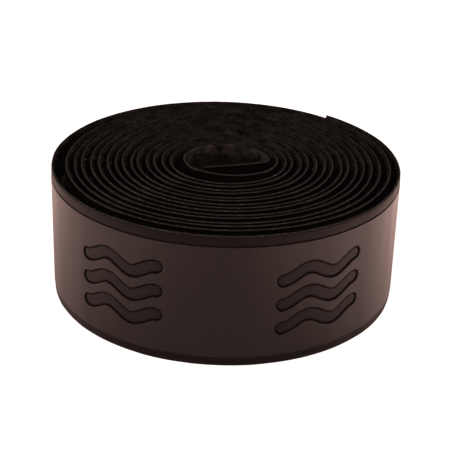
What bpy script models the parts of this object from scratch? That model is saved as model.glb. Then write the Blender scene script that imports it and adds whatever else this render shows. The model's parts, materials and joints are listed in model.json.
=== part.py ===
"""Grip tape roll: a cushioned, self-adhesive grip strip wound flat on its edge.

The strip is a laminate of a pressed skin, a cushion, an adhesive band and a release liner.
It is wound anticlockwise, seen from above, around an open core. The last part of the outer
turn is a tail that peels off the roll, the inner end is a flap that crosses the core, and
the liner's own end is a tab that lifts off the adhesive. Metres, +Z up. The roll rests on
z = 0, and the origin is under the middle of its box.
"""

import math
from collections import namedtuple

import bpy
from mathutils import Vector

MM = 0.001

# The strip and its layers, from the outer face inwards
TAPE_WIDTH = 25.0 * MM
LAYER_GAP = 0.03 * MM
SKIN_THICKNESS = 0.42 * MM
CUSHION_THICKNESS = 0.63 * MM
ADHESIVE_THICKNESS = 0.04 * MM
LINER_THICKNESS = 0.05 * MM
CUSHION_INSET = 0.8 * MM
ADHESIVE_WIDTH = 12.0 * MM
LINER_WIDTH = 13.5 * MM

# The winding, counted in turns inwards from the outer end. Its own axis stands a little off
# the origin, which is the centre of the roll's box.
WINDING_AXIS = (-0.036 * MM, 0.569 * MM)
OUTER_END_ANGLE = 51.0
CORNER_TURNS = 16.0 + OUTER_END_ANGLE / 360.0
CORE_RADIUS = 8.46 * MM
TURN_PITCH = 1.483 * MM
SLACK_BASE = 0.40 * MM
SLACK_LIFT = 0.80 * MM
FRONT_DIP = 2.50 * MM
CORE_DIP = 0.95 * MM
WAVER = 0.11 * MM
WAVER_RATE = 0.88
FACET_ANGLE = 15.0

# The peeling tail
TAIL_SEGMENTS = 6
TAIL_STEP_ANGLE = 16.0
TAIL_FACETS = 2
TAIL_CUT = 0.10 * MM

# The inner flap and the liner's tab
FLAP_SEGMENTS = 3
FLAP_LENGTH = 12.95 * MM
FLAP_HEADING = 196.0
FLAP_CUT = 0.12 * MM

Layer = namedtuple("Layer", "name depth thickness width colour roughness")


def make_layers():
    """List the layers with the depth of each one's outer face under the strip's outer face."""
    rows = [
        ("skin", SKIN_THICKNESS, TAPE_WIDTH, (0.030, 0.024, 0.022), 0.35),
        ("cushion", CUSHION_THICKNESS, TAPE_WIDTH - 2 * CUSHION_INSET, (0.012, 0.010, 0.009), 0.95),
        ("adhesive", ADHESIVE_THICKNESS, ADHESIVE_WIDTH, (0.55, 0.47, 0.30), 0.25),
        ("liner", LINER_THICKNESS, LINER_WIDTH, (0.66, 0.60, 0.48), 0.45),
    ]
    layers = []
    depth = 0.0
    for name, thickness, width, colour, roughness in rows:
        layers.append(Layer(name, depth, thickness, width, colour, roughness))
        depth += thickness + LAYER_GAP
    return layers


LAYERS = make_layers()
TAPE_THICKNESS = LAYERS[-1].depth + LAYERS[-1].thickness


def bump(turns, start, end):
    """Rise from 0 to 1 and fall back to 0 between two places along the winding."""
    if not start < turns < end:
        return 0.0
    return math.sin(math.pi * (turns - start) / (end - start)) ** 2


def fade(turns, start, end):
    """Fall smoothly from 1 to 0 between two places along the winding."""
    x = min(max((turns - start) / (end - start), 0.0), 1.0)
    return 1.0 - x * x * (3.0 - 2.0 * x)


def turn_radius(turns):
    """Radius of the strip's outer face, the given number of turns in from its outer end."""
    radius = CORE_RADIUS + TURN_PITCH * (CORNER_TURNS - turns)
    radius += SLACK_BASE * fade(turns, 0.9, 1.7) + SLACK_LIFT * bump(turns, 0.0, 1.1)
    radius -= FRONT_DIP * bump(turns, 15.12, 15.72) + CORE_DIP * bump(turns, 15.40, 16.15)
    settled = fade(turns, 14.2, 14.9) * (1.0 - fade(turns, 1.0, 2.0))
    radius += WAVER * settled * math.sin(2.0 * math.pi * WAVER_RATE * turns)
    return radius


def face_point(turns):
    """Point on the wound strip's outer face."""
    angle = math.radians(OUTER_END_ANGLE - 360.0 * turns)
    radius = turn_radius(turns)
    return Vector(WINDING_AXIS) + Vector((radius * math.cos(angle), radius * math.sin(angle)))


def face_path(start_turns, end_turns, facets):
    """Points on the outer face between two places, in equal steps of angle."""
    step = (end_turns - start_turns) / facets
    return [face_point(start_turns + step * index) for index in range(facets + 1)]


def right_normal(a, b):
    """Unit normal on the inner side of the run from a to b."""
    run = (b - a).normalized()
    return Vector((run.y, -run.x))


def offset_path(path, depth):
    """Move a path inwards by a depth, with mitred corners, so that its facets stay parallel."""
    normals = [right_normal(a, b) for a, b in zip(path, path[1:])]
    before = [normals[0]] + normals
    after = normals + [normals[-1]]
    moved = []
    for point, m, n in zip(path, before, after):
        moved.append(point + (m + n) * (depth / (1.0 + m.dot(n))))
    return moved


def trim_path(path, start_cut, end_cut):
    """Shorten a path at both ends along its own end runs."""
    trimmed = list(path)
    for _ in range(2):
        trimmed.reverse()
        cut = end_cut
        while (trimmed[1] - trimmed[0]).length < cut:
            cut -= (trimmed[1] - trimmed[0]).length
            trimmed.pop(0)
        trimmed[0] = trimmed[0] + (trimmed[1] - trimmed[0]).normalized() * cut
        end_cut = start_cut
    return trimmed


def make_material(layer):
    """Plain finish of one layer."""
    material = bpy.data.materials.new(layer.name)
    material.use_nodes = True
    shader = material.node_tree.nodes["Principled BSDF"]
    shader.inputs["Base Color"].default_value = (*layer.colour, 1.0)
    shader.inputs["Roughness"].default_value = layer.roughness
    shader.inputs["Metallic"].default_value = 0.0
    return material


def add_pivot(name, place, collection, parent=None):
    """Empty on a joint's axis, which carries the pieces that turn about it."""
    pivot = bpy.data.objects.new(name, None)
    pivot.empty_display_size = 2.0 * MM
    collection.objects.link(pivot)
    origin = Vector((0.0, 0.0))
    if parent:
        pivot.parent = parent
        origin = Vector(parent["place"])
    pivot.location = (*(place - origin), 0.0)
    pivot["place"] = tuple(place)
    return pivot


def add_strip(name, layer, path, collection, pivot=None):
    """One layer of the strip along a path: a ribbon standing on edge, thickened inwards."""
    origin = Vector(pivot["place"]) if pivot else Vector((0.0, 0.0))
    curve = bpy.data.curves.new(name, "CURVE")
    curve.dimensions = "2D"
    curve.fill_mode = "NONE"
    curve.extrude = layer.width / 2.0
    curve.render_resolution_u = 0
    spline = curve.splines.new("POLY")
    spline.points.add(len(path) - 1)
    for point, place in zip(spline.points, path):
        point.co = (*(place - origin), 0.0, 1.0)
    spline.use_smooth = True
    curve.materials.append(make_material(layer))
    strip = bpy.data.objects.new(name, curve)
    strip.location.z = TAPE_WIDTH / 2.0
    strip.parent = pivot
    collection.objects.link(strip)
    solidify = strip.modifiers.new("thickness", "SOLIDIFY")
    solidify.thickness = layer.thickness
    solidify.offset = -1.0
    solidify.use_even_offset = True
    return strip


def kink_cut(layer, kink, gap):
    """How far a layer stops short of a kink in the outer face, to stay a gap away from its twin."""
    inner_depth = layer.depth + layer.thickness
    return inner_depth * math.tan(kink / 2.0) + gap / 2.0


def build_roll(collection):
    """The wound strip, from the tail's root to the flap's corner. Returns the corner's angle."""
    tail_turns = TAIL_SEGMENTS * TAIL_STEP_ANGLE / 360.0
    root_kink = math.radians((FACET_ANGLE + TAIL_STEP_ANGLE / TAIL_FACETS) / 2.0)
    facets = round((CORNER_TURNS - tail_turns) * 360.0 / FACET_ANGLE)
    path = face_path(tail_turns, CORNER_TURNS, facets)
    corner_kink = (path[-1] - path[-2]).angle(flap_direction())
    for layer in LAYERS:
        root_cut = kink_cut(layer, root_kink, TAIL_CUT)
        corner_cut = kink_cut(layer, corner_kink, FLAP_CUT)
        run = trim_path(offset_path(path, layer.depth), root_cut, corner_cut)
        add_strip(f"{layer.name}_roll", layer, run, collection)
    return corner_kink


def build_tail(collection):
    """The peeling tail: short stretches, each on a pivot at the outer face of its root."""
    step = TAIL_STEP_ANGLE / 360.0
    facet_angle = TAIL_STEP_ANGLE / TAIL_FACETS
    root_kink = math.radians((FACET_ANGLE + facet_angle) / 2.0)
    pivot = None
    for index in range(1, TAIL_SEGMENTS + 1):
        root_turns = (TAIL_SEGMENTS + 1 - index) * step
        pivot = add_pivot(f"tail_pivot_{index}", face_point(root_turns), collection, pivot)
        path = face_path(root_turns - step, root_turns, TAIL_FACETS)
        kink = root_kink if index == 1 else math.radians(facet_angle)
        for layer in LAYERS:
            root_cut = kink_cut(layer, kink, TAIL_CUT)
            tip_cut = kink_cut(layer, math.radians(facet_angle), TAIL_CUT)
            if index == TAIL_SEGMENTS:
                tip_cut = 0.0
            run = trim_path(offset_path(path, layer.depth), tip_cut, root_cut)
            add_strip(f"{layer.name}_tail_{index}", layer, run, collection, pivot)


def flap_direction():
    """Unit direction of the straight flap, from its corner to its free end."""
    heading = math.radians(FLAP_HEADING)
    return Vector((math.cos(heading), math.sin(heading)))


def build_flap(collection, corner_kink):
    """The inner flap: straight stretches across the core. The liner's last one is the tab."""
    along = flap_direction()
    inward = Vector((along.y, -along.x))
    corner = face_point(CORNER_TURNS)
    length = FLAP_LENGTH / FLAP_SEGMENTS
    pivot = None
    for index in range(1, FLAP_SEGMENTS + 1):
        start = corner + along * (length * (index - 1))
        on_inner_face = inward * (TAPE_THICKNESS if index > 1 else 0.0)
        pivot = add_pivot(f"flap_pivot_{index}", start + on_inner_face, collection, pivot)
        end_cut = 0.0 if index == FLAP_SEGMENTS else FLAP_CUT / 2.0
        for layer in LAYERS:
            start_cut = kink_cut(layer, corner_kink if index == 1 else 0.0, FLAP_CUT)
            run = offset_path([start, start + along * length], layer.depth)
            run = trim_path(run, start_cut, end_cut)
            if layer.name == "liner" and index == FLAP_SEGMENTS:
                tab_pivot = add_pivot("tab_pivot", run[0], collection, pivot)
                add_strip("liner_tab", layer, run, collection, tab_pivot)
            else:
                add_strip(f"{layer.name}_flap_{index}", layer, run, collection, pivot)


def main():
    for item in list(bpy.data.objects):
        bpy.data.objects.remove(item, do_unlink=True)
    collection = bpy.data.collections.new("grip_tape_roll")
    bpy.context.scene.collection.children.link(collection)
    corner_kink = build_roll(collection)
    build_tail(collection)
    build_flap(collection, corner_kink)


main()
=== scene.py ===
"""Looks of the grip tape roll: one cushioned strip, wound on edge round an open core.

Every layer is laid out flat first, in strip coordinates: `along` the strip from its outer end,
`depth` inward from its face, and `height` above its lower edge. strip_points() then winds those
coordinates into the roll, so a layer and its details are drawn once and follow every turn.
All lengths are in metres.
"""
import json
import math

import bpy
import numpy as np
from mathutils import Matrix, Vector
from mathutils.geometry import delaunay_2d_cdt


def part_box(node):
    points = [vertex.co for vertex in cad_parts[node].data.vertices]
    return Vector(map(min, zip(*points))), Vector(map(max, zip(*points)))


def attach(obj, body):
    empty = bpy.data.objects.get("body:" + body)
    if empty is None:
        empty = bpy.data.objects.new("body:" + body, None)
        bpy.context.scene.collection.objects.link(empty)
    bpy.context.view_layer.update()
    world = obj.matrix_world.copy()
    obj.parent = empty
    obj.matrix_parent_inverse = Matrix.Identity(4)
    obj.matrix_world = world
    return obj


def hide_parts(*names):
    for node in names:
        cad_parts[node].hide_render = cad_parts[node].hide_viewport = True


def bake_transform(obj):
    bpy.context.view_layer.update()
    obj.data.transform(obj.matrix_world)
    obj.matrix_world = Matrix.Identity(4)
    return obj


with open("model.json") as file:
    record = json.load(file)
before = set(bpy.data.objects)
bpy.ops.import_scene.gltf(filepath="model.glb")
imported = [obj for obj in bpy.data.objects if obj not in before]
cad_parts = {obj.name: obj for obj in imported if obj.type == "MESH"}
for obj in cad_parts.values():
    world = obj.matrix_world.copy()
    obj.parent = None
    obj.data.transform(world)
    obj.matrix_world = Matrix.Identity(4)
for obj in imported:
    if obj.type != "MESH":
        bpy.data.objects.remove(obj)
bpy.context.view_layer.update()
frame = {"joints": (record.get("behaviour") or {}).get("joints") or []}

MM = 0.001

# -------- the winding, as in the CAD
TAPE_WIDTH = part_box("skin_roll")[1][2]
# each layer's near and far side, by depth from the strip's face
CUSHION = (0.45 * MM, 1.08 * MM)
ADHESIVE = (1.11 * MM, 1.15 * MM)
LINER = (1.18 * MM, 1.23 * MM)
CUSHION_WIDTH = 24.3 * MM
ADHESIVE_WIDTH = 12.0 * MM
LINER_WIDTH = 13.5 * MM
WINDING_AXIS = (-0.036 * MM, 0.569 * MM)
OUTER_END_ANGLE = 51.0
CORNER_TURNS = 16.0 + OUTER_END_ANGLE / 360.0
CORE_RADIUS = 8.46 * MM
TURN_PITCH = 1.483 * MM
SLACK_BASE = 0.40 * MM
SLACK_LIFT = 0.80 * MM
FRONT_DIP = 2.50 * MM
CORE_DIP = 0.95 * MM
FLAP_LENGTH = 12.95 * MM
FLAP_HEADING = math.radians(196.0)
FLAP_BOW = 0.40 * MM
CORNER_LEG = 1.9 * MM
CORNER_POINTS = 40
ROUTE_STEPS = 1440.0  # points in a turn
FLAP_STEP = 0.1 * MM

# unevenness of the winding: (height of the wave, waves in a turn, start of the wave in radians)
STRAY = ((0.11 * MM, 0.88, 0.0), (0.07 * MM, 0.57, 1.9), (0.05 * MM, 1.43, 0.7), (0.035 * MM, 2.61, 2.9))
# soft swells of the face: (height of the wave, its length, start)
SWELLS = ((0.020 * MM, 14.6 * MM, 0.4), (0.012 * MM, 8.3 * MM, 2.1), (0.007 * MM, 4.7 * MM, 4.0))
SWELLS_RADIUS = 32.0 * MM
# where these come and go, in turns counted inward from the outer end
SLACK_STOP = (0.9, 1.7)
SLACK_SPAN = (0.0, 1.1)
FRONT_DIP_SPAN = (15.12, 15.72)
CORE_DIP_SPAN = (15.40, 16.15)
STRAY_START = (1.0, 2.0)
STRAY_STOP = (14.2, 14.9)
SWELLS_STOP = (1.5, 2.0)

# how the cushion fills the room up to the next turn in: gaps up to the first width are filled by
# its swelling, and those over the second one stay open
SWELL_ENDS = (0.45 * MM, 0.95 * MM)
SWELL_START = (1.0, 1.4)
TURN_CLEARANCE = 0.06 * MM
# how far the inner turns' edges stand back; the lower edge less than the upper one
EDGE_WANDER = 0.22 * MM
WANDER_START = (1.2, 2.2)
LOWER_SHARE = 0.5
LOWER_PHASE = 4.0

# -------- the pressed pattern on the face
FACE_LOW = 1.75 * MM
FACE_TOP = 22.86 * MM
MOTIF_ANGLE = -58.5
MOTIF_PITCH = 37.0 * MM
MOTIF_HEIGHT = 12.4 * MM
WAVE_LENGTH = 17.4 * MM
WAVE_ROWS = (-4.6 * MM, 0.0, 4.6 * MM)
WAVE_SWING = 0.95 * MM
WAVE_PERIOD = 9.93 * MM
WAVE_HALF = 1.25 * MM
# depth of the press by how far inside the edge a point lies: a narrow trench round a shallower floor
PRESS_REACH = np.array((-0.26, -0.12, -0.02, 0.07, 0.17, 0.32, 0.50)) * MM
PRESS_DEPTH = np.array((0.0, 0.010, 0.07, 0.26, 0.30, 0.21, 0.16)) * MM
MOTIF_COUNT = 7
# the length of the face, from its outer end, that is made finely enough for the motif
FINE_LENGTH = 266.0 * MM
FINE_STEP = 0.9 * MM

HINGES = {joint["name"]: np.array(joint["pos_m"][:2]) for joint in frame["joints"]}
TAIL_HINGES = [HINGES["tail_peel"]] + [HINGES[f"tail_uncurl_{k}"] for k in range(2, 7)]
CORNER = HINGES["flap_swing"]


def ease(x):
    x = np.clip(x, 0.0, 1.0)
    return x * x * (3.0 - 2.0 * x)


def fade(x, start, end):
    return 1.0 - ease((x - start) / (end - start))


def bump(x, start, end):
    return np.sin(np.pi * np.clip((x - start) / (end - start), 0.0, 1.0)) ** 2


def winding_radius(turns):
    """The face's radius, by turns counted inward from the outer end."""
    radius = CORE_RADIUS + TURN_PITCH * (CORNER_TURNS - turns)
    radius = radius + SLACK_BASE * fade(turns, *SLACK_STOP) + SLACK_LIFT * bump(turns, *SLACK_SPAN)
    radius = radius - FRONT_DIP * bump(turns, *FRONT_DIP_SPAN) - CORE_DIP * bump(turns, *CORE_DIP_SPAN)
    settled = fade(turns, *STRAY_STOP) * (1.0 - fade(turns, *STRAY_START))
    for swing, rate, start in STRAY:
        radius = radius + swing * settled * np.sin(2.0 * np.pi * rate * turns + start)
    rough_length = 2.0 * np.pi * SWELLS_RADIUS * turns
    for swing, length, start in SWELLS:
        wave = np.sin(2.0 * np.pi * rough_length / length + start)
        radius = radius + swing * fade(turns, *SWELLS_STOP) * wave
    return radius


def winding_xy(turns):
    angle = np.radians(OUTER_END_ANGLE) - 2.0 * np.pi * turns
    radius = winding_radius(turns)
    x = WINDING_AXIS[0] + radius * np.cos(angle)
    y = WINDING_AXIS[1] + radius * np.sin(angle)
    return np.stack((x, y), 1)


def flap_xy(run):
    """The flap's face, a shallow bow, by distance from the corner."""
    ahead = np.array((math.cos(FLAP_HEADING), math.sin(FLAP_HEADING)))
    left = np.array((-ahead[1], ahead[0]))
    share = (run / FLAP_LENGTH)[:, None]
    return CORNER + ahead * run[:, None] + left * FLAP_BOW * 4.0 * share * (1.0 - share)


def meeting(point_a, heading_a, point_b, heading_b):
    """Where two lines cross."""
    across = np.array((-heading_b[1], heading_b[0]))
    return point_a + heading_a * ((point_b - point_a) @ across) / (heading_a @ across)


def face_route():
    """The whole face line in plan: the winding, a rounded corner and the flap."""
    last_turn = CORNER_TURNS - CORNER_LEG / (2.0 * np.pi * CORE_RADIUS)
    wound = winding_xy(np.arange(0.0, last_turn, 1.0 / ROUTE_STEPS))
    flap = flap_xy(np.arange(CORNER_LEG, FLAP_LENGTH, FLAP_STEP))
    into = wound[-1] - wound[-2]
    out = flap[1] - flap[0]
    peak = meeting(wound[-1], into / np.linalg.norm(into), flap[0], out / np.linalg.norm(out))
    t = np.linspace(0.0, 1.0, CORNER_POINTS + 2)[1:-1, None]
    corner = wound[-1] * (1.0 - t) ** 2 + peak * 2.0 * t * (1.0 - t) + flap[0] * t * t
    return np.concatenate((wound, corner, flap))


ROUTE = face_route()
ROUTE_AT = np.concatenate(((0.0,), np.cumsum(np.linalg.norm(np.diff(ROUTE, axis=0), axis=1))))
ROUTE_SLOPE = np.gradient(ROUTE, ROUTE_AT, axis=0)
ROUTE_HEADING = np.unwrap(np.arctan2(ROUTE_SLOPE[:, 1], ROUTE_SLOPE[:, 0]))
STRIP_LENGTH = ROUTE_AT[-1]
TURN_TABLE = np.arange(0.0, CORNER_TURNS, 1.0 / ROUTE_STEPS)
TURN_AT = np.interp(TURN_TABLE * ROUTE_STEPS, np.arange(len(ROUTE)), ROUTE_AT)


def at_angle(angle):
    """Distance along the strip where its outermost turn passes an angle round the winding axis."""
    return float(np.interp((OUTER_END_ANGLE - angle) / 360.0, TURN_TABLE, TURN_AT))


def at_flap(run):
    """Distance along the strip at a distance from the corner, on the flap."""
    return STRIP_LENGTH - (FLAP_LENGTH - run)


def squeeze(along):
    """How much thinner the cushion is pressed where the next turn in lies close. Below zero it
    swells instead, so that the turns under the loose outer one lie on each other all round."""
    turns = np.interp(along, TURN_AT, TURN_TABLE)
    gap = winding_radius(turns) - winding_radius(np.minimum(turns + 1.0, CORNER_TURNS))
    spare = gap - LINER[1] - TURN_CLEARANCE
    swell = fade(spare, *SWELL_ENDS) * (1.0 - fade(turns, *SWELL_START))
    filled = fade(turns, CORNER_TURNS - 1.1, CORNER_TURNS - 1.0)  # the last turn has none inside it
    return -np.where(spare > 0.0, spare * swell, spare) * filled


def edge_shift(along, start):
    """How far an edge of the inner turns stands back from the outer turn's edge."""
    turns = np.interp(along, TURN_AT, TURN_TABLE)
    wave = 0.5 + 0.3 * np.sin(2.0 * np.pi * 0.43 * turns + start) + 0.2 * np.sin(2.0 * np.pi * 1.57 * turns)
    return EDGE_WANDER * wave * (1.0 - fade(turns, *WANDER_START))


def strip_frame(along):
    """Face point, forward direction and inward direction, in plan, at distances along the strip."""
    heading = np.interp(along, ROUTE_AT, ROUTE_HEADING)
    point = np.stack((np.interp(along, ROUTE_AT, ROUTE[:, 0]), np.interp(along, ROUTE_AT, ROUTE[:, 1])), 1)
    ahead = np.stack((np.cos(heading), np.sin(heading)), 1)
    inward = np.stack((ahead[:, 1], -ahead[:, 0]), 1)
    return point, ahead, inward


def strip_points(along, depth, height):
    """Strip coordinates wound into the roll."""
    along, depth, height = np.broadcast_arrays(along, depth, height)
    point, _, inward = strip_frame(along)
    pressed = depth - squeeze(along) * np.clip((depth - CUSHION[0]) / (CUSHION[1] - CUSHION[0]), 0.0, 1.0)
    low = edge_shift(along, LOWER_PHASE) * LOWER_SHARE
    z = low + height * (TAPE_WIDTH - low - edge_shift(along, 0.0)) / TAPE_WIDTH
    plan = point + inward * pressed[:, None]
    return np.column_stack((plan, z))


# -------- stretches between the joints
def hinge_angle(hinge):
    return math.degrees(math.atan2(hinge[1] - WINDING_AXIS[1], hinge[0] - WINDING_AXIS[0]))


TAIL_STEP = hinge_angle(TAIL_HINGES[1]) - hinge_angle(TAIL_HINGES[0])
TAIL_CUTS = [at_angle(hinge_angle(hinge) - TAIL_STEP / 2.0) for hinge in TAIL_HINGES]
FLAP_RUN = FLAP_LENGTH / 3.0
CORNER_BEND = 3.2 * MM
COIL_END = at_flap(0.0) - CORNER_BEND
FLAP_MIDDLES = [at_flap(FLAP_RUN * (k + 0.5)) for k in range(3)]
HINGE_3 = at_flap(FLAP_RUN * 2.0)
TAB_CURL = 1.6 * MM


def bend_planes(start, end):
    point, ahead, inward = strip_frame(np.array((start, end)))
    course = ahead[0] + ahead[1]
    course = course / np.linalg.norm(course)
    faces = (point @ course, (point + inward * LINER[1]) @ course)
    first = max(faces[0][0], faces[1][0])
    last = min(faces[0][1], faces[1][1])
    middle = point.mean(axis=0)
    level = middle @ course
    low = middle + course * (first - level)
    high = middle + course * (last - level)
    height = TAPE_WIDTH / 2.0
    return (low[0], low[1], height), (high[0], high[1], height)


def tail_stretches(layer):
    """(piece name, replaced node, start, end, near body, far body, blend planes), outer end last."""
    last_blend = at_angle(hinge_angle(TAIL_HINGES[-1]) + TAIL_STEP / 2.0)
    outer_ends = [*TAIL_CUTS[1:], 0.0]
    blend_ends = [*TAIL_CUTS[1:], last_blend]
    rows = []
    for k, inner_end in enumerate(TAIL_CUTS):
        near = "roll" if k == 0 else f"tail_{k}"
        planes = bend_planes(blend_ends[k], inner_end)[::-1]
        rows.append((f"{layer}_bend_{k + 1}", f"{layer}_tail_{k + 1}", outer_ends[k], inner_end,
                     near, f"tail_{k + 1}", planes))
    return rows


def flap_stretches(layer):
    """The same for the inner flap, corner first."""
    edges = [COIL_END, FLAP_MIDDLES[0], FLAP_MIDDLES[1], STRIP_LENGTH]
    blends = [COIL_END, *FLAP_MIDDLES]
    bodies = ["roll", "flap_1", "flap_2", "flap_3"]
    rows = []
    for k in range(3):
        planes = bend_planes(blends[k], blends[k + 1])
        rows.append((f"{layer}_inner_bend_{k + 1}", f"{layer}_flap_{k + 1}", edges[k], edges[k + 1],
                     bodies[k], bodies[k + 1], planes))
    return rows


def liner_end_stretches():
    """The liner's flap stretches: its last one ends at the third hinge, and a pull tab runs on to the
    strip's end.
    """
    rows = flap_stretches("liner")
    name, _, start, _, near, far, planes = rows[2]
    rows[2] = (name, None, start, HINGE_3, near, far, planes)
    tab_planes = bend_planes(HINGE_3, HINGE_3 + TAB_CURL)
    rows.append(("liner_pull_tab", "liner_tab", HINGE_3, STRIP_LENGTH, "flap_3", "tab", tab_planes))
    return rows


# -------- meshes
CREASE = math.radians(50.0)
STATIONS_PER_TURN = 96.0
FLAP_STATION = 0.45 * MM
SAME_PLACE = 1e-9


def mesh_object(name, points, strip, faces, normals, slots, materials, marks=None):
    """An object from wound points, with its strip coordinates kept for the materials and a
    normal for each corner of each face."""
    mesh = bpy.data.meshes.new(name)
    mesh.from_pydata(points.tolist(), [], faces)
    for material in materials:
        mesh.materials.append(material)
    mesh.polygons.foreach_set("material_index", np.array(slots, np.int32))
    kept = mesh.attributes.new("strip", "FLOAT_VECTOR", "POINT")
    kept.data.foreach_set("vector", np.ascontiguousarray(strip / MM, dtype=np.float32).ravel())
    for label, values in (marks or {}).items():
        mark = mesh.attributes.new(label, "FLOAT", "POINT")
        mark.data.foreach_set("value", np.ascontiguousarray(values, dtype=np.float32))
    mesh.shade_smooth()
    mesh.update()
    mesh.normals_split_custom_set(normals.tolist())
    made = bpy.data.objects.new(name, mesh)
    bpy.context.scene.collection.objects.link(made)
    return made


def profile_normals(profile, closed):
    """Normals at the start and end of each segment of a profile in (depth, height). Segments that
    meet at less than CREASE share a normal, so that only real corners show as edges."""
    ahead = np.roll(profile, -1, axis=0) - profile
    if not closed:
        ahead = ahead[:-1]
    length = np.linalg.norm(ahead, axis=1, keepdims=True)
    flat = np.column_stack((ahead[:, 1], -ahead[:, 0])) / length
    weight = 1.0 / length
    before = np.roll(flat, 1, axis=0)
    joined = flat * weight + before * np.roll(weight, 1, axis=0)
    joined = joined / np.linalg.norm(joined, axis=1, keepdims=True)
    smooth = (flat * before).sum(axis=1, keepdims=True) > math.cos(CREASE)
    if not closed:
        smooth[0] = False
    start = np.where(smooth, joined, flat)
    ends = np.where(np.roll(smooth, -1, axis=0), np.roll(joined, -1, axis=0), flat)
    if not closed:
        ends[-1] = flat[-1]
    return start, ends


def wound_normals(along, in_section, lean=0.0):
    """Normals given as (depth, height) at distances along the strip, turned into world ones."""
    _, ahead, inward = strip_frame(np.atleast_1d(along))
    plan = inward * in_section[..., 0:1] + ahead * np.reshape(lean, (-1, 1))
    return np.column_stack((plan, in_section[..., 1]))


def steps(start, end, step):
    return np.linspace(start, end, max(2, int(math.ceil((end - start) / step)) + 1))


def coil_stations(start, end):
    """Distances along the strip, even in angle round the roll."""
    first = np.interp(start, TURN_AT, TURN_TABLE)
    last = np.interp(end, TURN_AT, TURN_TABLE)
    count = max(2, int(math.ceil((last - first) * STATIONS_PER_TURN)) + 1)
    return np.interp(np.linspace(first, last, count), TURN_TABLE, TURN_AT)


def stations_between(start, end):
    """Even steps on the tail, turn by turn steps in the coil, short ones on the flap."""
    if end <= TAIL_CUTS[0] + SAME_PLACE:
        return steps(start, end, FINE_STEP)
    if start >= COIL_END - SAME_PLACE:
        return steps(start, end, FLAP_STATION)
    return coil_stations(start, end)


def segment_quads(stations, count, j, k, first, last):
    """One segment of a profile, swept along: its quads, and a normal for each of their corners."""
    rows = len(stations)
    base = np.arange(rows - 1) * count
    near = wound_normals(stations, np.tile(first, (rows, 1)))
    far = wound_normals(stations, np.tile(last, (rows, 1)))
    quads = np.column_stack((base + j, base + count + j, base + count + k, base + k))
    return quads, np.stack((near[:-1], near[1:], far[1:], far[:-1]), 1).reshape(-1, 3)


def sweep(name, stations, profile, materials, slots, rough=None, fringe=None):
    """A closed strip with one (depth, height) profile, given with its solid side on the left. rough
    adds unevenness to it, and fringe adds loose fibres in the last material."""
    count = len(profile)
    rows = len(stations)
    along = np.repeat(stations, count)
    section = np.tile(profile, (rows, 1))
    if rough is not None:
        section = section + rough(along, section)
    strip = np.column_stack((along, section))
    points = strip_points(along, section[:, 0], section[:, 1])
    start, ends = profile_normals(profile, True)
    faces, normals, marks = [], [], []
    for j in range(count):
        quads, corners = segment_quads(stations, count, j, (j + 1) % count, start[j], ends[j])
        faces.append(quads)
        normals.append(corners)
        marks.append(np.full(rows - 1, slots[j]))
    _, ahead, _ = strip_frame(stations[[0, -1]])
    caps = [list(range(count)), list(range((rows - 1) * count, rows * count))[::-1]]
    back = np.tile((-ahead[0, 0], -ahead[0, 1], 0.0), (count, 1))
    front = np.tile((ahead[1, 0], ahead[1, 1], 0.0), (count, 1))
    all_normals = np.concatenate((*normals, back, front))
    all_slots = np.concatenate((*marks, [slots[-1], slots[-1]]))
    all_faces = np.concatenate(faces).tolist() + caps
    if fringe is not None:
        tufts, tuft_faces = fringe(stations[0], stations[-1])
        tuft_points = strip_points(tufts[:, 0], tufts[:, 1], tufts[:, 2])
        all_normals = np.concatenate((all_normals, flat_normals(tuft_points, tuft_faces)))
        all_slots = np.concatenate((all_slots, np.full(len(tuft_faces), len(materials) - 1)))
        all_faces += [[v + len(strip) for v in face] for face in tuft_faces]
        strip = np.concatenate((strip, tufts))
        points = np.concatenate((points, tuft_points))
    return mesh_object(name, points, strip, all_faces, all_normals, all_slots, materials)


def flat_normals(points, faces):
    """One normal for each corner of each face, square to the face."""
    first, second, third = (points[[face[k] for face in faces]] for k in range(3))
    across = np.cross(second - first, third - first)
    across = across / np.maximum(np.linalg.norm(across, axis=1, keepdims=True), 1e-15)
    return np.repeat(across, [len(face) for face in faces], axis=0)


# -------- the skin and its pressed pattern
# its section as (depth, height), from the face's lower line round the back to its upper one
SKIN_PROFILE = np.array((
    (0.00, 1.75), (0.02, 1.66), (0.05, 1.40), (0.09, 0.70), (0.13, 0.20), (0.18, 0.03), (0.24, 0.00),
    (0.37, 0.00), (0.42, 0.06), (0.42, 0.80), (0.42, 6.00), (0.42, 19.0), (0.42, 24.2),
    (0.42, 24.90), (0.40, 24.96), (0.34, 25.0), (0.20, 24.94), (0.13, 24.90), (0.09, 24.84),
    (0.065, 24.40), (0.045, 23.80), (0.04, 23.26), (0.06, 23.18), (0.15, 23.10), (0.17, 22.98),
    (0.10, 22.90), (0.00, 22.86))) * MM
FACE, EDGE, BACK, BAND, PRESSED, TRENCH = range(6)
SKIN_SLOTS = [BAND] * 5 + [EDGE] * 3 + [BACK] * 7 + [EDGE] * 3 + [BAND] * 8
RIM_HEIGHT = 24.93 * MM
RIM_UNEVEN = 0.012 * MM
# the height and half width of the groove near the upper edge, which is painted darker as painted shade
EDGE_LINE, EDGE_LINE_HALF = 23.0 * MM, 0.14 * MM
# how far inside a wave's edge the trench and then its floor begin, and the press's mark is full
TRENCH_REACH = -0.03 * MM
FLOOR_REACH = 0.25 * MM
PRESS_FADE = 0.12 * MM
FACE_ROWS = 11
GRID_CLEARANCE = 0.6 * MM
OUTLINE_SPACING = 0.4 * MM
SEARCH_SPACING = 0.05 * MM
SEARCH_BLOCK = 1500
ARC_POINTS = 9
MERGE_MM = 1e-5
LEAST_AREA = 1e-14
TOLERANCE = 1e-7


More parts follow.
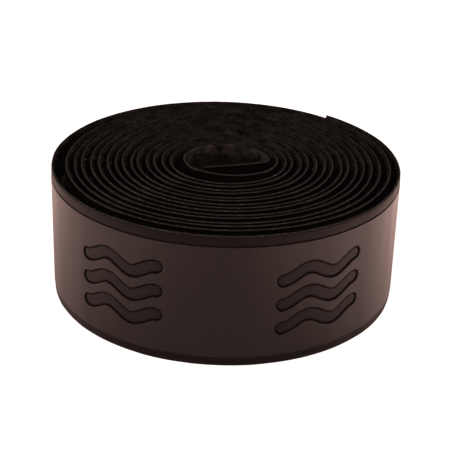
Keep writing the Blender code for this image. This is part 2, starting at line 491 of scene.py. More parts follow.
def wave_line(row, spacing):
    """The middle line of one pressed wave, about the motif's own centre."""
    reach = WAVE_LENGTH / 2.0 - WAVE_HALF
    x = np.linspace(-reach, reach, int(round(2.0 * reach / spacing)) + 1)
    return np.column_stack((x, row + WAVE_SWING * np.sin(2.0 * np.pi * x / WAVE_PERIOD)))


def wave_outline(row, radius):
    """A closed line at one distance round a wave's middle line."""
    line = wave_line(row, OUTLINE_SPACING)
    heading = np.arctan2(np.gradient(line[:, 1]), np.gradient(line[:, 0]))
    side = np.column_stack((-np.sin(heading), np.cos(heading))) * radius
    turn = np.linspace(0.0, np.pi, ARC_POINTS + 2)[1:-1, None]
    nose = heading[-1] - np.pi / 2.0 + turn
    tail = heading[0] + np.pi / 2.0 + turn
    end_cap = line[-1] + radius * np.column_stack((np.cos(nose), np.sin(nose)))
    start_cap = line[0] + radius * np.column_stack((np.cos(tail), np.sin(tail)))
    return np.concatenate((line - side, end_cap, (line + side)[::-1], start_cap))


MOTIF_FIRST = at_angle(MOTIF_ANGLE) - MOTIF_PITCH
MOTIF_CENTRES = [MOTIF_FIRST + MOTIF_PITCH * k for k in range(MOTIF_COUNT)]


def press_reach(flat):
    """How far inside a wave's edge each (along, height) point lies, and the direction inward."""
    lines = np.concatenate([wave_line(row, SEARCH_SPACING) for row in WAVE_ROWS])
    turn = np.round((flat[:, 0] - MOTIF_FIRST) / MOTIF_PITCH)
    local = flat - np.column_stack((MOTIF_FIRST + turn * MOTIF_PITCH, np.full(len(flat), MOTIF_HEIGHT)))
    reach, inward = np.empty(len(flat)), np.empty((len(flat), 2))
    for block in np.array_split(np.arange(len(flat)), max(1, len(flat) // SEARCH_BLOCK)):
        gap = lines[None, :, :] - local[block][:, None, :]
        far = np.linalg.norm(gap, axis=2)
        best = far.argmin(axis=1)
        near = far[np.arange(len(block)), best]
        reach[block] = WAVE_HALF - near
        inward[block] = gap[np.arange(len(block)), best] / np.maximum(near, SAME_PLACE)[:, None]
    return reach, inward


def fine_stations():
    """Distances along the face's finely made part, with every cut between stretches among them."""
    edges = [0.0, *TAIL_CUTS[::-1], FINE_LENGTH]
    return np.unique(np.concatenate([steps(a, b, FINE_STEP) for a, b in zip(edges, edges[1:])]))


def pressed_face():
    """The flat face from the outer end to FINE_LENGTH as (along, height) points and triangles. The
    triangles follow the outline of every pressed wave, and the cuts between the tail's stretches."""
    stations = fine_stations()
    count = len(stations)
    rim = np.concatenate((np.column_stack((stations, np.full(count, FACE_LOW))),
                          np.column_stack((stations, np.full(count, FACE_TOP)))))
    points, edges = [rim], []
    for i in range(count - 1):
        edges += [(i, i + 1), (count + i, count + i + 1)]
    for cut in (0.0, *TAIL_CUTS, FINE_LENGTH):
        i = int(np.abs(stations - cut).argmin())
        edges.append((i, count + i))
    heights = np.linspace(FACE_LOW, FACE_TOP, FACE_ROWS)[1:-1]
    grid = np.array([(s, h) for s in stations for h in heights])
    reach, _ = press_reach(grid)
    points.append(grid[reach < -GRID_CLEARANCE])
    used = sum(len(p) for p in points)
    for centre in MOTIF_CENTRES:
        for row in WAVE_ROWS:
            for inset in PRESS_REACH:
                loop = wave_outline(row, WAVE_HALF - inset) + (centre, MOTIF_HEIGHT)
                points.append(loop)
                ring = [used + i for i in range(len(loop))]
                edges += list(zip(ring, ring[1:] + ring[:1]))
                used += len(loop)
    flat = np.concatenate(points) / MM
    made = delaunay_2d_cdt([Vector(p) for p in flat.tolist()], edges, [], 0, MERGE_MM)
    corners = np.array([tuple(v) for v in made[0]]) * MM
    triangles = np.array(made[2])
    a, b, c = corners[triangles[:, 0]], corners[triangles[:, 1]], corners[triangles[:, 2]]
    u, v = b - a, c - a
    area = u[:, 0] * v[:, 1] - u[:, 1] * v[:, 0]
    real = np.abs(area) > LEAST_AREA
    triangles = triangles[real]
    flip = area[real] > 0.0
    triangles[flip] = triangles[flip][:, ::-1]
    return corners, triangles


FLAT_FACE, FLAT_TRIANGLES = pressed_face()
FLAT_REACH, FLAT_INWARD = press_reach(FLAT_FACE)
FLAT_DEPTH = np.interp(FLAT_REACH, PRESS_REACH, PRESS_DEPTH)
SLOPE_STEP = 0.04 * MM
FLAT_SLOPE = (np.interp(FLAT_REACH + SLOPE_STEP, PRESS_REACH, PRESS_DEPTH)
              - np.interp(FLAT_REACH - SLOPE_STEP, PRESS_REACH, PRESS_DEPTH)) / (2.0 * SLOPE_STEP)
# how dark the painted shade along the trench is, by how far inside the wave's edge
GROOVE_SHADE_REACH = np.array((-0.03, 0.05, 0.22, 0.40)) * MM
GROOVE_SHADE_DARK = (0.0, 1.0, 0.8, 0.0)


def skin_piece(name, start, end, materials):
    """A stretch of the skin: its edges and back are swept, and its face is the pressed one as far
    as FINE_LENGTH and plain further in, where every turn covers the next."""
    fine = fine_stations()
    stations = fine[(fine > start - TOLERANCE) & (fine < end + TOLERANCE)]
    if end > FINE_LENGTH + TOLERANCE:
        rest = stations_between(max(start, FINE_LENGTH), end)
        stations = np.concatenate((stations, rest[1:] if len(stations) else rest))
    profile, count, rows = SKIN_PROFILE, len(SKIN_PROFILE), len(stations)
    along = np.repeat(stations, count)
    section = np.tile(profile, (rows, 1))
    rim = section[:, 1] > RIM_HEIGHT
    rim_wave = np.sin(along[rim] / MM * 3.1) * np.sin(along[rim] / MM * 1.27)
    section[rim, 1] -= RIM_UNEVEN * (1.0 + rim_wave)
    first, last = profile_normals(profile, False)
    faces, corners, slots = [], [], []
    for j in range(count - 1):
        quads, normals = segment_quads(stations, count, j, j + 1, first[j], last[j])
        faces += quads.tolist()
        corners.append(normals)
        slots += [SKIN_SLOTS[j]] * (rows - 1)

    # the pressed face's share of this stretch
    middle = FLAT_FACE[FLAT_TRIANGLES, 0].mean(axis=1)
    mine = FLAT_TRIANGLES[(middle > start) & (middle < end)]
    used = np.unique(mine)
    index = np.full(len(FLAT_FACE), -1)
    flat = FLAT_FACE[used]
    station_of = np.abs(flat[:, 0][:, None] - stations[None, :]).argmin(axis=1)
    low = np.abs(flat[:, 1] - FACE_LOW) < TOLERANCE
    top = np.abs(flat[:, 1] - FACE_TOP) < TOLERANCE
    own = ~(low | top)
    index[used[low]] = station_of[low] * count
    index[used[top]] = station_of[top] * count + count - 1
    index[used[own]] = rows * count + np.arange(own.sum())
    inner = used[own]
    faces += index[mine].tolist()
    level = np.digitize(FLAT_REACH[mine].mean(axis=1), (TRENCH_REACH, FLOOR_REACH))
    slots += np.array((FACE, TRENCH, PRESSED))[level].tolist()
    lean = FLAT_SLOPE[mine] * FLAT_INWARD[mine][:, :, 0]
    rise = FLAT_SLOPE[mine] * FLAT_INWARD[mine][:, :, 1]
    in_section = np.column_stack((np.full(lean.size, -1.0), rise.ravel()))
    pressed_normals = wound_normals(FLAT_FACE[mine][:, :, 0].ravel(), in_section, lean.ravel())
    corners.append(pressed_normals / np.linalg.norm(pressed_normals, axis=1, keepdims=True))

    # the plain face, and where it meets the pressed one
    def on_line(value):
        line = [v for v in inner if abs(FLAT_FACE[v, 0] - value) < TOLERANCE]
        return [int(index[v]) for v in sorted(line, key=lambda v: FLAT_FACE[v, 1])]

    outward = wound_normals(stations, np.tile((-1.0, 0.0), (rows, 1)))
    for i in range(rows - 1):
        if stations[i] < FINE_LENGTH - TOLERANCE:
            continue
        seam = on_line(FINE_LENGTH) if abs(stations[i] - FINE_LENGTH) < TOLERANCE else []
        here, there = i * count, (i + 1) * count
        faces.append([here + count - 1, there + count - 1, there, here] + seam)
        slots.append(FACE)
        corners.append(np.concatenate((outward[[i, i + 1, i + 1, i]], np.tile(outward[i], (len(seam), 1)))))

    # the cut ends
    _, ahead, _ = strip_frame(stations[[0, -1]])
    near_cap = list(range(count)) + on_line(start)[::-1]
    far_cap = (list(range((rows - 1) * count, rows * count)) + on_line(end)[::-1])[::-1]
    for cap, way in ((near_cap, -ahead[0]), (far_cap, ahead[1])):
        faces.append(cap)
        slots.append(EDGE)
        corners.append(np.tile((way[0], way[1], 0.0), (len(cap), 1)))

    strip = np.concatenate((np.column_stack((along, section)),
                            np.column_stack((FLAT_FACE[inner, 0], FLAT_DEPTH[inner], FLAT_FACE[inner, 1]))))
    points = strip_points(strip[:, 0], strip[:, 1], strip[:, 2])
    height = strip[:, 2]
    # the groove near the upper edge gets painted shade too
    edge_groove_shade = (np.abs(height - EDGE_LINE) < EDGE_LINE_HALF) & (np.arange(len(strip)) < rows * count)
    reach = np.concatenate((np.full(rows * count, -1.0), FLAT_REACH[inner]))
    marks = {
        "band": ((height > FACE_TOP + TOLERANCE) | (height < FACE_LOW - TOLERANCE)).astype(float),
        "press": ease((reach - TRENCH_REACH) / PRESS_FADE),
        # painted shade in the grooves
        "line": np.maximum(edge_groove_shade, np.interp(reach, GROOVE_SHADE_REACH, GROOVE_SHADE_DARK)),
    }
    return mesh_object(name, points, strip, faces, np.concatenate(corners), slots, materials, marks)


# -------- materials
# in millimetres, as the materials read the strip: its last turn, whose fleece isn't pressed down and is
# painted paler there, as painted light on the open core wall
LIT_TURN_FROM = (STRIP_LENGTH - FLAP_LENGTH) / MM - 48.0
# the turns under the outermost one, whose lips were pressed smooth
INNER_FROM = 205.0
MIDDLE_HEIGHT = 12.5
RANGE_INPUTS = ("From Min", "From Max", "To Min", "To Max")

FACE_DARK = (0.0034, 0.0027, 0.0025)
FACE_LIGHT = (0.0062, 0.0046, 0.0042)
FACE_WORN = (0.01, 0.008, 0.0074)
# the bands' own duller tone, darkened further as painted shade for the gaps between turns
BAND_AND_GAP_SHADE_COLOUR = (0.0016, 0.0013, 0.0012)
PRESS_COLOUR = (0.0042, 0.004, 0.0039)
GROOVE_SHADE_COLOUR = (0.0005, 0.0004, 0.0004)
EDGE_DARK = (0.0023, 0.0038, 0.0041)
EDGE_LIGHT = (0.016, 0.0285, 0.031)
EDGE_PAINTED_GLINT = (0.23, 0.26, 0.265)
FLEECE_DARK = (0.0055, 0.0062, 0.0058)
FLEECE_LIGHT = (0.033, 0.0385, 0.0365)
FLEECE_PAINTED_LIGHT = (0.064, 0.066, 0.063)
# painted shade for the fleece deep in the gaps between turns
FLEECE_PAINTED_SHADE = (0.006, 0.006, 0.0056)
FIBRE_DARK = (0.02, 0.02, 0.019)
FIBRE_LIGHT = (0.13, 0.125, 0.115)
ADHESIVE_DARK = (0.06, 0.05, 0.036)
ADHESIVE_LIGHT = (0.105, 0.088, 0.062)
ADHESIVE_BUBBLE = (0.16, 0.14, 0.11)
PAPER_DARK = (0.012, 0.012, 0.012)
PAPER_LIGHT = (0.021, 0.021, 0.021)
PAPER_FIBRE = (0.034, 0.034, 0.033)


class Nodes:
    """A material's node tree, with its strip coordinates in millimetres."""

    def __init__(self, name):
        self.material = bpy.data.materials.new(name)
        self.material.use_nodes = True
        self.tree = self.material.node_tree
        self.surface = self.tree.nodes["Principled BSDF"]
        self.strip = self.mark("strip", "Vector")

    def link(self, source, target):
        self.tree.links.new(source, target)

    def put(self, socket, value):
        if hasattr(value, "links"):
            self.link(value, socket)
        else:
            socket.default_value = value

    def mark(self, label, output="Fac"):
        node = self.tree.nodes.new("ShaderNodeAttribute")
        node.attribute_name = label
        return node.outputs[output]

    def split(self, axis):
        """One strip coordinate in millimetres: X along the strip, Z above its lower edge."""
        node = self.tree.nodes.new("ShaderNodeSeparateXYZ")
        self.link(self.strip, node.inputs[0])
        return node.outputs[axis]

    def scaled(self, along, depth, height):
        """The strip coordinates stretched, so a pattern is longer one way than another."""
        node = self.tree.nodes.new("ShaderNodeVectorMath")
        node.operation = "MULTIPLY"
        self.link(self.strip, node.inputs[0])
        node.inputs[1].default_value = (along, depth, height)
        return node.outputs["Vector"]

    def noise(self, vector, scale, detail=3.0, rough=0.55):
        node = self.tree.nodes.new("ShaderNodeTexNoise")
        self.link(vector, node.inputs["Vector"])
        node.inputs["Scale"].default_value = scale
        node.inputs["Detail"].default_value = detail
        node.inputs["Roughness"].default_value = rough
        return node.outputs["Fac"]

    def cells(self, vector, scale):
        node = self.tree.nodes.new("ShaderNodeTexVoronoi")
        self.link(vector, node.inputs["Vector"])
        node.inputs["Scale"].default_value = scale
        return node.outputs["Distance"]

    def math(self, operation, a, b=0.0, clamp=False):
        node = self.tree.nodes.new("ShaderNodeMath")
        node.operation = operation
        node.use_clamp = clamp
        self.put(node.inputs[0], a)
        self.put(node.inputs[1], b)
        return node.outputs[0]

    def range(self, value, low, high, to_low, to_high):
        node = self.tree.nodes.new("ShaderNodeMapRange")
        self.put(node.inputs["Value"], value)
        for label, number in zip(RANGE_INPUTS, (low, high, to_low, to_high)):
            node.inputs[label].default_value = number
        return node.outputs["Result"]

    def mix(self, factor, a, b):
        """Two colours mixed; each is a colour or a socket."""
        node = self.tree.nodes.new("ShaderNodeMix")
        node.data_type = "RGBA"
        self.put(node.inputs["Factor"], factor)
        for label, value in (("A", a), ("B", b)):
            socket = [s for s in node.inputs if s.name == label and s.type == "RGBA"][0]
            self.put(socket, value if hasattr(value, "links") else (*value, 1.0))
        return [s for s in node.outputs if s.type == "RGBA"][0]

    def bump(self, height, distance, strength=1.0, below=None):
        node = self.tree.nodes.new("ShaderNodeBump")
        node.inputs["Strength"].default_value = strength
        node.inputs["Distance"].default_value = distance
        self.link(height, node.inputs["Height"])
        if below is not None:
            self.link(below, node.inputs["Normal"])
        return node.outputs["Normal"]

    def finish(self, colour, roughness, normal, **constants):
        self.put(self.surface.inputs["Base Color"], colour)
        self.put(self.surface.inputs["Roughness"], roughness)
        self.link(normal, self.surface.inputs["Normal"])
        for label, value in constants.items():
            self.surface.inputs[label.replace("_", " ")].default_value = value
        return self.material


def face_material(name, gloss):
    """Pressed polyurethane: satin, near black with a brown cast, with a fine pebbled grain."""
    n = Nodes(name)
    band, press, line = n.mark("band"), n.mark("press"), n.mark("line")
    height = n.split("Z")
    wound_in = n.range(n.split("X"), INNER_FROM - 20.0, INNER_FROM, 0.0, 1.0)
    lip = n.math("MULTIPLY", n.range(height, 24.25, 24.45, 0.0, 1.0), wound_in)
    drift = n.noise(n.scaled(0.05, 0.0, 0.03), 1.0, 4.0)
    drag = n.noise(n.scaled(0.35, 0.0, 0.02), 1.0, 2.0)
    pebble = n.cells(n.scaled(1.0, 1.0, 1.0), 3.4)
    grain = n.noise(n.scaled(1.0, 1.0, 1.0), 5.0, 4.0, 0.6)
    stipple = n.noise(n.scaled(1.0, 1.0, 1.0), 7.5, 3.0, 0.7)
    colour = n.mix(n.range(drift, 0.3, 0.7, 0.0, 1.0), FACE_DARK, FACE_LIGHT)
    colour = n.mix(n.range(grain, 0.45, 0.7, 0.0, 0.35), colour, FACE_WORN)
    # the bands at both edges darker: partly their own tone, partly painted shade for the gaps between turns
    # and the contact with the floor
    colour = n.mix(n.math("MULTIPLY", band, 0.45), colour, BAND_AND_GAP_SHADE_COLOUR)
    colour = n.mix(n.math("MULTIPLY", press, 0.8), colour, PRESS_COLOUR)
    # painted shade in the trenches round the waves and in the groove along the upper edge
    colour = n.mix(n.math("MULTIPLY", line, 0.9, True), colour, GROOVE_SHADE_COLOUR)
    rough = n.range(n.math("ADD", n.math("MULTIPLY", drag, 0.6), n.math("MULTIPLY", grain, 0.4)),
                    0.3, 0.7, 0.37, 0.45)
    for mark, rougher in ((band, 0.16), (press, 0.14)):
        rough = n.math("ADD", rough, n.math("MULTIPLY", mark, rougher))
    rough = n.math("ADD", rough, n.math("MULTIPLY", line, 0.2), True)
    rough = n.math("SUBTRACT", rough, n.math("MULTIPLY", lip, 0.40), True)
    streak = n.noise(n.scaled(1.25, 0.0, 0.02), 1.0, 2.0)
    normal = n.bump(drag, 0.05 * MM, 0.35)
    normal = n.bump(streak, 0.006 * MM, 1.0, normal)
    normal = n.bump(pebble, 0.012 * MM, 0.6, normal)
    normal = n.bump(n.math("MULTIPLY", stipple, n.math("ADD", press, 0.15)), 0.03 * MM, 0.7, normal)
    return n.finish(colour, rough, normal, Specular_IOR_Level=gloss)


def edge_material():
    """The knife-cut edge of the skin: matt, a shade greyer, with stray bright specks that are painted
    glints.
    """
    n = Nodes("polyurethane_cut_edge")
    fibre = n.noise(n.scaled(1.6, 6.0, 6.0), 1.0, 4.0, 0.7)
    glint_spot = n.noise(n.scaled(2.2, 5.0, 5.0), 1.3, 2.0, 0.6)
    drift = n.noise(n.scaled(0.08, 1.0, 1.0), 1.0, 3.0)
    colour = n.mix(n.range(fibre, 0.35, 0.65, 0.0, 1.0), EDGE_DARK, EDGE_LIGHT)
    # painted glints: bright specks in the colour in place of sparkle on the rims
    colour = n.mix(n.range(glint_spot, 0.62, 0.70, 0.0, 0.8), colour, EDGE_PAINTED_GLINT)
    colour = n.mix(n.range(drift, 0.4, 0.7, 0.0, 0.5), colour, EDGE_DARK)
    normal = n.bump(fibre, 0.05 * MM, 0.8)
    return n.finish(colour, n.range(fibre, 0.3, 0.7, 0.6, 0.85), normal, Specular_IOR_Level=0.25)


def fleece_material(name, dark, light):
    """Needled felt: matt, fuzzy and blotched. It is painted paler in the last turn, as painted light on the
    open core wall, and painted darker away from its edges, as painted shade in the gaps between turns.
    """
    n = Nodes(name)
    blotch = n.noise(n.scaled(0.35, 1.0, 0.5), 1.0, 5.0, 0.65)
    fibre = n.noise(n.scaled(2.4, 5.0, 3.1), 1.0, 5.0, 0.75)
    strand = n.noise(n.scaled(5.5, 5.0, 0.9), 1.0, 3.0, 0.6)
    both = n.math("ADD", n.math("MULTIPLY", blotch, 0.5), n.math("MULTIPLY", fibre, 0.5))
    colour = n.mix(n.range(both, 0.42, 0.61, 0.0, 1.0), dark, light)
    colour = n.mix(n.range(strand, 0.6, 0.75, 0.0, 0.5), colour, light)
    off_middle = n.math("ABSOLUTE", n.math("SUBTRACT", n.split("Z"), MIDDLE_HEIGHT))
    inside = n.math("SUBTRACT", MIDDLE_HEIGHT, off_middle)
    ragged = n.math("ADD", inside, n.math("MULTIPLY", n.math("SUBTRACT", blotch, 0.5), 1.2))
    # painted light: the last turn's fleece is lighter, for the open core wall that catches more light
    lit_turn = n.range(n.split("X"), LIT_TURN_FROM, LIT_TURN_FROM + 12.0, 0.0, 1.0)
    painted_light = n.math("MULTIPLY", lit_turn, n.range(blotch, 0.40, 0.62, 0.0, 0.75))
    colour = n.mix(painted_light, colour, FLEECE_PAINTED_LIGHT)
    # painted shade: darker away from the edges, for the narrow gaps between turns
    shade_depth = n.math("SUBTRACT", ragged, n.math("MULTIPLY", lit_turn, 1.1))
    colour = n.mix(n.range(shade_depth, 0.55, 1.5, 0.0, 0.8), colour, FLEECE_PAINTED_SHADE)
    normal = n.bump(fibre, 0.12 * MM, 0.8)
    normal = n.bump(strand, 0.06 * MM, 0.6, normal)
    return n.finish(colour, n.range(fibre, 0.3, 0.7, 0.85, 1.0), normal, Specular_IOR_Level=0.03)


def fibre_material():
    """Single fibres that stand off the fleece, some paler than others."""
    n = Nodes("loose_fibres")
    pick = n.noise(n.scaled(0.9, 2.0, 2.0), 1.0, 2.0)
    twist = n.noise(n.scaled(9.0, 9.0, 9.0), 1.0, 2.0)
    colour = n.mix(n.range(pick, 0.42, 0.70, 0.0, 1.0), FIBRE_DARK, FIBRE_LIGHT)
    normal = n.bump(twist, 0.01 * MM, 0.5)
    return n.finish(colour, n.range(twist, 0.3, 0.7, 0.55, 0.75), normal, Specular_IOR_Level=0.2)


def adhesive_material():
    """A thin tacky film: dull amber, with fine bubbles and a drag along the strip."""
    n = Nodes("adhesive_film")
    bubble = n.cells(n.scaled(1.0, 1.0, 1.0), 1.9)
    drag = n.noise(n.scaled(0.25, 1.0, 2.2), 1.0, 4.0)
    colour = n.mix(n.range(drag, 0.3, 0.7, 0.0, 1.0), ADHESIVE_DARK, ADHESIVE_LIGHT)
    colour = n.mix(n.range(bubble, 0.0, 0.12, 0.6, 0.0), colour, ADHESIVE_BUBBLE)
    normal = n.bump(drag, 0.05 * MM, 0.6)
    normal = n.bump(bubble, 0.02 * MM, 0.5, normal)
    return n.finish(colour, n.range(drag, 0.3, 0.7, 0.18, 0.34), normal, Specular_IOR_Level=0.5)


def liner_material():
    """Silicone-coated release paper: dark smoke grey, with faint fibres and soft wrinkles."""
    n = Nodes("release_paper")
    fibre = n.noise(n.scaled(1.4, 4.0, 3.6), 1.0, 6.0, 0.7)
    cloud = n.noise(n.scaled(0.22, 1.0, 0.3), 1.0, 3.0)
    wrinkle = n.noise(n.scaled(0.9, 1.0, 0.18), 1.0, 3.0, 0.5)
    colour = n.mix(n.range(cloud, 0.3, 0.7, 0.0, 1.0), PAPER_DARK, PAPER_LIGHT)
    colour = n.mix(n.range(fibre, 0.55, 0.75, 0.0, 0.5), colour, PAPER_FIBRE)
    normal = n.bump(wrinkle, 0.08 * MM, 0.5)
    normal = n.bump(fibre, 0.015 * MM, 0.6, normal)
    return n.finish(colour, n.range(cloud, 0.3, 0.7, 0.40, 0.52), normal, Specular_IOR_Level=0.20)


# -------- the four layers
def fluffed(along, section):
    """A fleece's surface is never even: its skived edges most, its middle a little."""
    a = along / MM
    depth, height = section[:, 0] / MM, section[:, 1] / MM
    from_edge = CUSHION_WIDTH / MM / 2.0 - np.abs(height - MIDDLE_HEIGHT)
    side = np.sign(height - MIDDLE_HEIGHT)
    j = depth * 9.0 + side
    wave = np.sin(a * 2.3 + j * 3.1) + np.sin(a * 4.6 + j * 1.7 + 1.0) + np.sin(a * 0.83 + j * 2.2)
    fine = np.sin(a * 5.1 + j * 5.3) * np.sin(a * 3.7 + j) + np.sin(a * 3.3 + height * 2.7)
    tuft = np.clip(1.0 - from_edge / 0.5, 0.0, 1.0)
    lift = (0.045 * wave + 0.055 * fine) * tuft * side
    open_side = (depth > 0.5) & (from_edge < 6.5)
    swell = (0.022 * wave + 0.03 * fine) * open_side * (0.4 + 0.6 * tuft)
    return np.column_stack((swell, lift)) * MM


def layer_profile(depths, low, high, round_off):
    """A closed section between two depths and two heights, with its corners cut."""
    near, far = depths
    cut = min(round_off, (far - near) * 0.45)
    return np.array(((near + cut, low), (far - cut, low), (far, low + cut), (far, (low + high) / 2.0),
                     (far, high - cut), (far - cut, high), (near + cut, high), (near, high - cut),
                     (near, (low + high) / 2.0), (near, low + cut)))


# the cushion's upper half as (depth, height) in millimetres: its side to the skin, and its back
HALF_CUSHION = ((0.47, 24.65), (0.45, 24.50), (0.45, 18.0), (0.45, 12.5))
HALF_TAPER = ((1.08, 12.5), (1.08, 19.7), (1.04, 20.5), (0.92, 21.4),
              (0.72, 22.8), (0.60, 24.0), (0.57, 24.5), (0.53, 24.65))
CUSHION_STEP = 0.6 * MM
FIBRE_PITCH = 0.24 * MM


def loose_fibres(start, end):
    """Stray fibres along the fleece's upper edge, each a closed three-sided spike with a bend."""
    margin = 0.5 * MM
    count = max(1, int((end - start - 2.0 * margin) / FIBRE_PITCH))
    draw = np.random.default_rng(int(round(start / MM)) + 7)
    along = start + margin + FIBRE_PITCH * (np.arange(count) + draw.random(count))
    height = (24.6 - 1.3 * draw.random(count) ** 2) * MM
    taper = np.array(HALF_TAPER) * MM
    depth = np.interp(height, taper[:, 1], taper[:, 0]) - 0.02 * MM
    root = np.column_stack((along, depth, height))
    way = np.column_stack((draw.normal(0.0, 0.8, count), draw.uniform(-0.35, 0.75, count),
                           draw.uniform(0.0, 0.9, count)))
    way /= np.linalg.norm(way, axis=1, keepdims=True)
    length = draw.uniform(0.15, 0.55, count)[:, None] * MM
    knee = root + way * length * 0.55 + draw.normal(0.0, 0.04, (count, 3)) * MM
    tip = root + way * length + draw.normal(0.0, 0.07, (count, 3)) * MM
    side = np.cross(way, (0.31, 0.52, -0.79))
    side /= np.linalg.norm(side, axis=1, keepdims=True)
    other = np.cross(way, side)
    rows = []
    for centre, radius in ((root, 0.026 * MM), (knee, 0.019 * MM)):
        for turn in (0.0, 2.0 * math.pi / 3.0, 4.0 * math.pi / 3.0):
            rows.append(centre + (side * math.cos(turn) + other * math.sin(turn)) * radius)
    points = np.stack(rows + [tip], 1).reshape(-1, 3)
    points[:, 2] = np.minimum(points[:, 2], TAPE_WIDTH + 0.04 * MM)
    pattern = [(2, 1, 0), (0, 1, 4, 3), (1, 2, 5, 4), (2, 0, 3, 5), (3, 4, 6), (4, 5, 6), (5, 3, 6)]
    faces = [[v + 7 * i for v in face] for i in range(count) for face in pattern]
    return points, faces


def lower(half):
    """The mirror image of a half section, below the strip's middle."""
    return [(depth, 2.0 * MIDDLE_HEIGHT - height) for depth, height in half]


# A known fault: the lower side to the skin is listed from edge to middle, so the section doubles
# back on itself and leaves a thin hidden fold there. It should be lower(HALF_CUSHION[::-1]).
CUSHION_PROFILE = np.array(lower(HALF_CUSHION) + lower(HALF_TAPER[::-1])
                           + list(HALF_TAPER[1:]) + list(HALF_CUSHION[:-1])) * MM
ADHESIVE_PROFILE = layer_profile(ADHESIVE, (TAPE_WIDTH - ADHESIVE_WIDTH) / 2.0,
                                 (TAPE_WIDTH + ADHESIVE_WIDTH) / 2.0, 0.01 * MM)
LINER_PROFILE = layer_profile(LINER, (TAPE_WIDTH - LINER_WIDTH) / 2.0,
                              (TAPE_WIDTH + LINER_WIDTH) / 2.0, 0.01 * MM)


def plain_piece(profile, materials, step=None, rough=None, fringe=None):
    """A maker of stretches of a layer that has one section from end to end."""
    def make(name, start, end):
        stations = stations_between(start, end) if step is None else steps(start, end, step)
        return sweep(name, stations, profile, materials, [0] * len(profile), rough, fringe)
    return make


def build_layer(layer, make, tail_rows, flap_rows):
    """One layer's coil, its stretches over the tail's joints and those over the flap's joints."""
    coil = make(f"{layer}_coil", TAIL_CUTS[0], COIL_END)
    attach(coil, "roll")
    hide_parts(f"{layer}_roll")
    bends = []
    for name, node, start, end, near, far, planes in tail_rows + flap_rows:
        piece = make(name, start, end)
        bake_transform(piece)
        if node:
            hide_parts(node)
        bends.append(piece)
    return coil, bends


face = face_material("polyurethane_face", 0.42)
band = face_material("polyurethane_band", 0.20)
pressed = face_material("polyurethane_pressed", 0.28)
trench = face_material("polyurethane_trench", 0.06)
cut_edge = edge_material()
skin_back = fleece_material("skin_backing", FLEECE_DARK, FLEECE_LIGHT)
fleece = fleece_material("cushion_fleece", FLEECE_DARK, FLEECE_LIGHT)
fibre = fibre_material()


def make_skin(name, start, end):
    return skin_piece(name, start, end, [face, cut_edge, skin_back, band, pressed, trench])


make_cushion = plain_piece(CUSHION_PROFILE, [fleece, fibre], CUSHION_STEP, fluffed, loose_fibres)
LAYERS = {
    "skin": (make_skin, TAPE_WIDTH),
    "cushion": (make_cushion, CUSHION_WIDTH),
    "adhesive": (plain_piece(ADHESIVE_PROFILE, [adhesive_material()]), ADHESIVE_WIDTH),
    "liner": (plain_piece(LINER_PROFILE, [liner_material()]), LINER_WIDTH),
}
for layer, (make, width) in LAYERS.items():
    flap_rows = liner_end_stretches() if layer == "liner" else flap_stretches(layer)
    coil, bends = build_layer(layer, make, tail_stretches(layer), flap_rows)


# -------- studio
WARM = (1.0, 0.655, 0.58)
CAMERA_RISE = math.radians(25.44)
CAMERA_DISTANCE = 242.12 * MM
CAMERA_TILT = math.radians(1.70)
CAMERA_LENS = 98.96
CAMERA_SHIFT = (0.01057, -0.02114)
FLOOR_HALF_SIDE = 3.0
FLOOR_GREY = (0.62, 0.62, 0.62, 1.0)
WHITE = (1.0, 1.0, 1.0, 1.0)
FLOOR_FRONT, FLOOR_LEFT, FLOOR_RIGHT, FLOOR_BACK = 0.19, 0.95, 1.48, 0.80
FLOOR_BURN = 0.86
SKY_ALL, SKY_BACK = 0.02, 0.50
# each panel's place, size and power
PANELS = {
    "panel_front": ((0.0, -0.50, 0.80), (0.30, 0.5), 5.0),
    "panel_top": ((0.0, 0.0, 0.9), (0.3, 0.5), 1.2),
    "panel_left": ((-0.9, 0.1, 0.35), (0.7, 0.5), 1.8),
    "panel_right": ((0.9, 0.1, 0.35), (0.7, 0.5), 1.0),
}


def place_camera():
    data = bpy.data.cameras.new("camera")
    data.lens = CAMERA_LENS
    data.sensor_width = 36.0
    data.shift_x, data.shift_y = CAMERA_SHIFT
    data.clip_start, data.clip_end = 0.01, 10.0
    camera = bpy.data.objects.new("camera", data)
    target = Vector((WINDING_AXIS[0], WINDING_AXIS[1], TAPE_WIDTH / 2.0))
    back = Vector((0.0, -math.cos(CAMERA_RISE), math.sin(CAMERA_RISE)))
    level = Vector((1.0, 0.0, 0.0))
    right = level * math.cos(CAMERA_TILT) + back.cross(level) * math.sin(CAMERA_TILT)
    camera.location = target + back * CAMERA_DISTANCE
    camera.rotation_mode = "QUATERNION"
    camera.rotation_quaternion = Matrix((right, back.cross(right), back)).transposed().to_quaternion()
    bpy.context.scene.collection.objects.link(camera)
    bpy.context.scene.camera = camera


def is_seen(tree):
    return tree.nodes.new("ShaderNodeLightPath").outputs["Is Camera Ray"]


def joined(tree, operation, a, b):
    """One number made from two, each a socket or a number."""
    node = tree.nodes.new("ShaderNodeMath")
    node.operation = operation
    for socket, value in zip(node.inputs, (a, b)):
        if hasattr(value, "links"):
            tree.links.new(value, socket)
        else:
            socket.default_value = value
    return node.outputs[0]


def rising(tree, value, low, high, gain):
    """0 below low and gain above high, eased between."""
    node = tree.nodes.new("ShaderNodeMapRange")
    node.interpolation_type = "SMOOTHSTEP"
    tree.links.new(value, node.inputs["Value"])
    for label, number in zip(RANGE_INPUTS, (low, high, 0.0, gain)):
        node.inputs[label].default_value = number
    return node.outputs["Result"]


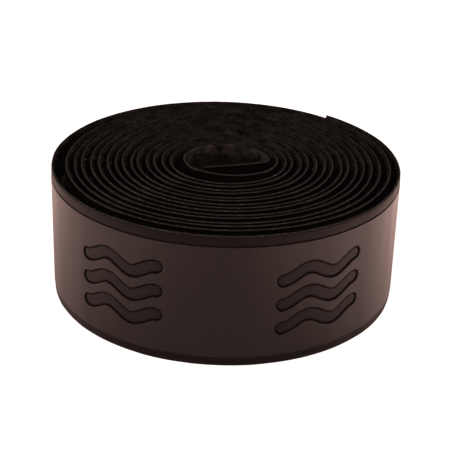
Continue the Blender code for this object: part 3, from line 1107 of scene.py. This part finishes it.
def make_floor():
    """A pale matt sweep that glows, brighter to the sides and behind: painted light, as if the studio's
    lamps fell on it.
    Seen by the camera it is burnt out to white, but for a trace of the contact shadow."""
    side = FLOOR_HALF_SIDE
    mesh = bpy.data.meshes.new("floor")
    mesh.from_pydata([(-side, -side, 0.0), (side, -side, 0.0), (side, side, 0.0), (-side, side, 0.0)],
                     [], [(0, 1, 2, 3)])
    floor = bpy.data.objects.new("floor", mesh)
    floor.location.z = -0.02 * MM
    bpy.context.scene.collection.objects.link(floor)
    material = bpy.data.materials.new("floor_paper")
    material.use_nodes = True
    tree = material.node_tree
    tree.nodes.remove(tree.nodes["Principled BSDF"])
    matt = tree.nodes.new("ShaderNodeBsdfDiffuse")
    matt.inputs["Color"].default_value = FLOOR_GREY
    place = tree.nodes.new("ShaderNodeSeparateXYZ")
    tree.links.new(tree.nodes.new("ShaderNodeTexCoord").outputs["Object"], place.inputs[0])
    glow = joined(tree, "ADD", rising(tree, place.outputs["X"], 0.01, 0.08, FLOOR_RIGHT),
                  rising(tree, joined(tree, "MULTIPLY", place.outputs["X"], -1.0), 0.01, 0.08, FLOOR_LEFT))
    glow = joined(tree, "ADD", glow, rising(tree, place.outputs["Y"], 0.0, 0.05, FLOOR_BACK))
    glow = joined(tree, "ADD", glow, FLOOR_FRONT)
    seen = is_seen(tree)
    # painted light: the floor glows for all but camera rays, as if lamps lit it
    painted_glow = tree.nodes.new("ShaderNodeEmission")
    painted_glow.inputs["Color"].default_value = (*WARM, 1.0)
    unseen = joined(tree, "SUBTRACT", 1.0, seen)
    tree.links.new(joined(tree, "MULTIPLY", glow, unseen), painted_glow.inputs["Strength"])
    burn = tree.nodes.new("ShaderNodeEmission")
    burn.inputs["Color"].default_value = WHITE
    tree.links.new(joined(tree, "MULTIPLY", seen, FLOOR_BURN), burn.inputs["Strength"])
    total = matt
    for part in (painted_glow, burn):
        both = tree.nodes.new("ShaderNodeAddShader")
        tree.links.new(total.outputs[0], both.inputs[0])
        tree.links.new(part.outputs[0], both.inputs[1])
        total = both
    tree.links.new(total.outputs[0], tree.nodes["Material Output"].inputs["Surface"])
    mesh.materials.append(material)


def make_sky():
    """Warm light from all round, strongest from behind the roll; the camera sees white."""
    world = bpy.data.worlds.new("studio")
    bpy.context.scene.world = world
    world.use_nodes = True
    tree = world.node_tree
    glow = tree.nodes["Background"]
    glow.inputs["Color"].default_value = (*WARM, 1.0)
    way = tree.nodes.new("ShaderNodeSeparateXYZ")
    tree.links.new(tree.nodes.new("ShaderNodeTexCoord").outputs["Generated"], way.inputs[0])
    low = joined(tree, "SUBTRACT", 1.0, rising(tree, way.outputs["Z"], 0.45, 0.80, 1.0))
    back = joined(tree, "MULTIPLY", rising(tree, way.outputs["Y"], 0.15, 0.75, SKY_BACK), low)
    strength = joined(tree, "ADD", back, SKY_ALL)
    tree.links.new(strength, glow.inputs["Strength"])
    white = tree.nodes.new("ShaderNodeBackground")
    white.inputs["Color"].default_value = WHITE
    white.inputs["Strength"].default_value = 1.3
    pick = tree.nodes.new("ShaderNodeMixShader")
    tree.links.new(is_seen(tree), pick.inputs["Fac"])
    tree.links.new(glow.outputs[0], pick.inputs[1])
    tree.links.new(white.outputs[0], pick.inputs[2])
    tree.links.new(pick.outputs[0], tree.nodes["World Output"].inputs["Surface"])


def add_panel(name, place, size, power):
    """A soft panel light, facing the roll."""
    data = bpy.data.lights.new(name, "AREA")
    data.shape = "RECTANGLE"
    data.size, data.size_y = size
    data.energy = power
    data.color = WARM
    panel = bpy.data.objects.new(name, data)
    panel.location = place
    panel.rotation_mode = "QUATERNION"
    panel.rotation_quaternion = (Vector((0.0, 0.0, 0.0)) - Vector(place)).to_track_quat("-Z", "Y")
    panel.visible_camera = False
    bpy.context.scene.collection.objects.link(panel)


place_camera()
make_floor()
make_sky()
for name, (place, size, power) in PANELS.items():
    add_panel(name, place, size, power)
bpy.context.scene.view_settings.view_transform = "Standard"
